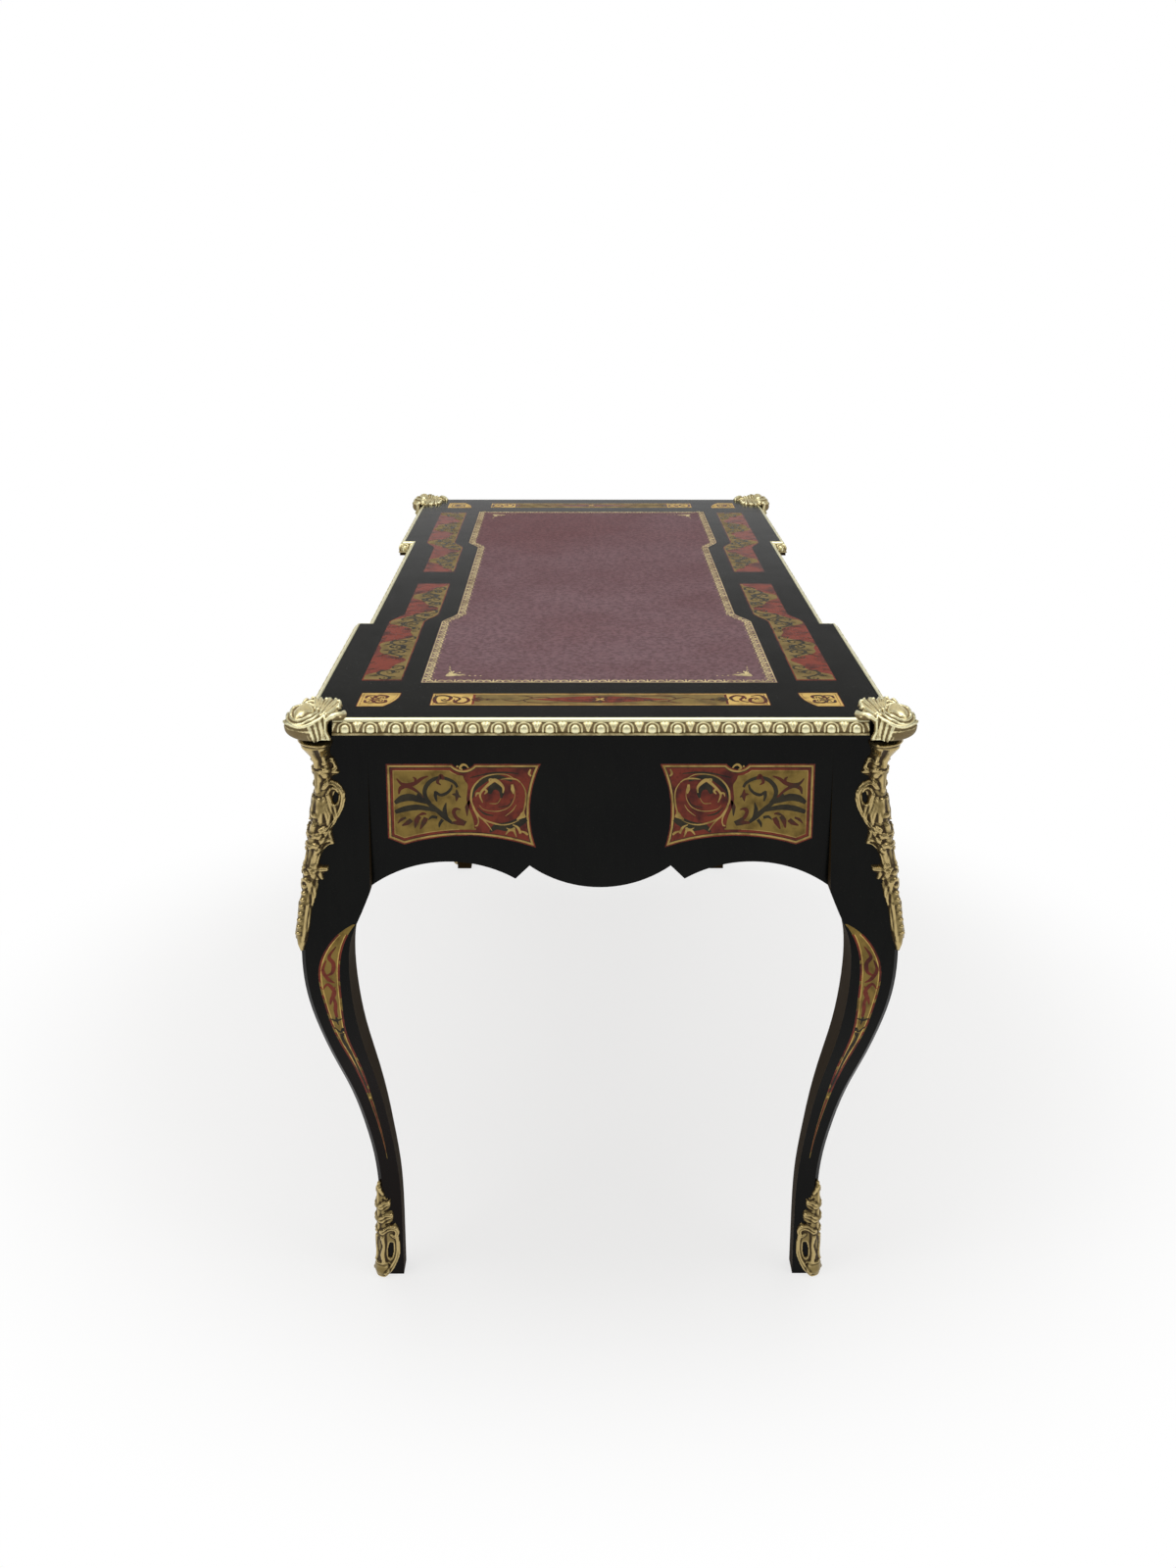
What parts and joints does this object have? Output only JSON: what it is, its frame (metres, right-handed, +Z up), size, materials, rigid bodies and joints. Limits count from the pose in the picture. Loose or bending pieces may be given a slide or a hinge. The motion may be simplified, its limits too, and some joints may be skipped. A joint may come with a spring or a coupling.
{
  "type": "writing desk",
  "caption": "Ebonised bureau plat with cabriole legs, leather writing surface, brass and shell marquetry, cast brass mounts and sliding frieze drawers.",
  "frame": {"origin": "on the floor, under the middle of the desk", "axes": "+X along the desk's length, +Y from the drawers to the back, +Z up"},
  "size_m": [1.5262, 0.7212, 0.79],
  "materials": {
    "ebonised_wood": "high-gloss black lacquer",
    "gilt_brass": "aged gilt, cast and chased",
    "desk_leather": "burgundy, fine grain, tooled border",
    "brass_marquetry": "polished brass and red shell inlay",
    "plain_oak": "plain, waxed",
    "lock_brass": "satin",
    "screw_steel": "plain"
  },
  "bodies": {
    "carcass": {"leg_front_left": "ebonised_wood", "leg_front_right": "ebonised_wood", "leg_back_left": "ebonised_wood", "leg_back_right": "ebonised_wood", "top_board": "ebonised_wood", "end_apron_left": "ebonised_wood", "end_apron_right": "ebonised_wood", "back_apron_left": "ebonised_wood", "back_apron_centre": "ebonised_wood", "back_apron_right": "ebonised_wood", "front_rail_left": "ebonised_wood", "front_rail_centre": "ebonised_wood", "front_rail_right": "ebonised_wood", "front_top_rails": "ebonised_wood", "partition_left": "ebonised_wood", "partition_right": "ebonised_wood", "knee_mount_front_left": "gilt_brass", "knee_mount_front_right": "gilt_brass", "knee_mount_back_left": "gilt_brass", "knee_mount_back_right": "gilt_brass", "foot_mount_front_left": "gilt_brass", "foot_mount_front_right": "gilt_brass", "foot_mount_back_left": "gilt_brass", "foot_mount_back_right": "gilt_brass", "corner_mount_front_left": "gilt_brass", "corner_mount_front_right": "gilt_brass", "corner_mount_back_left": "gilt_brass", "corner_mount_back_right": "gilt_brass", "edge_moulding_front": "gilt_brass", "edge_moulding_back": "gilt_brass", "edge_moulding_left": "gilt_brass", "edge_moulding_right": "gilt_brass", "leather_writing_surface": "desk_leather", "top_inlay_panels": "brass_marquetry", "frieze_inlay_panels": "brass_marquetry", "leg_inlay_panels": "brass_marquetry", "drawer_runners": "plain_oak", "drawer_stops": "plain_oak", "glue_blocks": "plain_oak", "top_screws": "screw_steel"},
    "left_drawer": {"left_drawer_front": "ebonised_wood", "left_drawer_escutcheon": "gilt_brass", "left_drawer_pull_rosettes": "gilt_brass", "left_drawer_panel": "brass_marquetry", "left_drawer_box": "plain_oak", "left_drawer_lock": "lock_brass"},
    "centre_drawer": {"centre_drawer_front": "ebonised_wood", "centre_drawer_escutcheon": "gilt_brass", "centre_drawer_panel": "brass_marquetry", "centre_drawer_box": "plain_oak", "centre_drawer_lock": "lock_brass"},
    "right_drawer": {"right_drawer_front": "ebonised_wood", "right_drawer_escutcheon": "gilt_brass", "right_drawer_pull_rosettes": "gilt_brass", "right_drawer_panel": "brass_marquetry", "right_drawer_box": "plain_oak", "right_drawer_lock": "lock_brass"},
    "left_bail": {"left_drawer_bail": "gilt_brass"},
    "right_bail": {"right_drawer_bail": "gilt_brass"}
  },
  "joints": [
    {"name": "left_drawer_slide", "type": "slide", "parent": "carcass", "child": "left_drawer", "axis": [0, -1, 0], "range_m": [0, 0.32]},
    {"name": "centre_drawer_slide", "type": "slide", "parent": "carcass", "child": "centre_drawer", "axis": [0, -1, 0], "range_m": [0, 0.32]},
    {"name": "right_drawer_slide", "type": "slide", "parent": "carcass", "child": "right_drawer", "axis": [0, -1, 0], "range_m": [0, 0.32]},
    {"name": "left_bail_swing", "type": "hinge", "parent": "left_drawer", "child": "left_bail", "pos_m": [-0.502, -0.335, 0.69312], "axis": [-1, 0, 0], "range_deg": [0, 95]},
    {"name": "right_bail_swing", "type": "hinge", "parent": "right_drawer", "child": "right_bail", "pos_m": [0.502, -0.335, 0.69312], "axis": [-1, 0, 0], "range_deg": [0, 95]}
  ]
}
